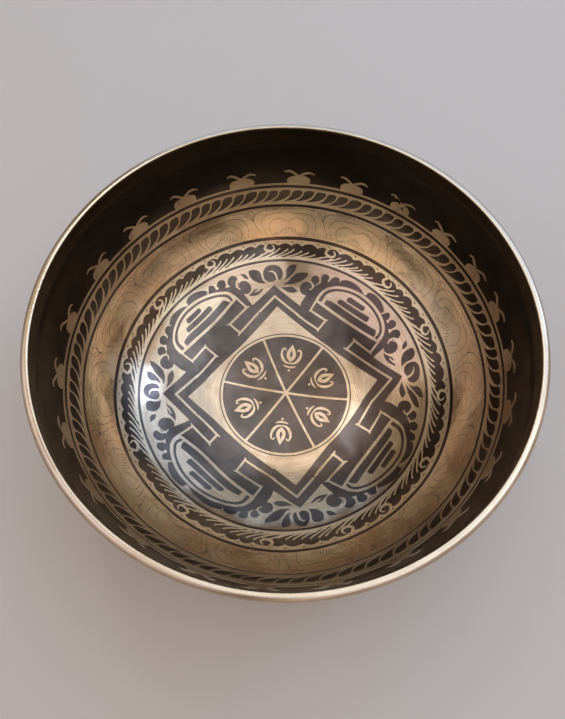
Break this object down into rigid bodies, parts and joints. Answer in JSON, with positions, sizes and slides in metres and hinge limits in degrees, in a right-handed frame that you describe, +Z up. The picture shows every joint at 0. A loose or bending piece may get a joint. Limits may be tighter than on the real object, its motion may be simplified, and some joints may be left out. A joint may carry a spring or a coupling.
{
  "type": "singing bowl",
  "caption": "Deep rounded hammered bronze singing bowl with a flat polished lip, a flat base to rest on, and bright etched bands and a wheel on a dark patina inside.",
  "frame": {"origin": "centre of the flat base the bowl rests on", "axes": "+Z up along the bowl's axis, out of its mouth; the bowl's form is round, +X and +Y lie in the resting plane"},
  "size_m": [0.3, 0.3, 0.125],
  "materials": {
    "bell_bronze": "hammered bell bronze, dark patina with etched and polished bright brass-coloured ornament"
  },
  "bodies": {
    "root": {"bowl": "bell_bronze"}
  },
  "joints": []
}
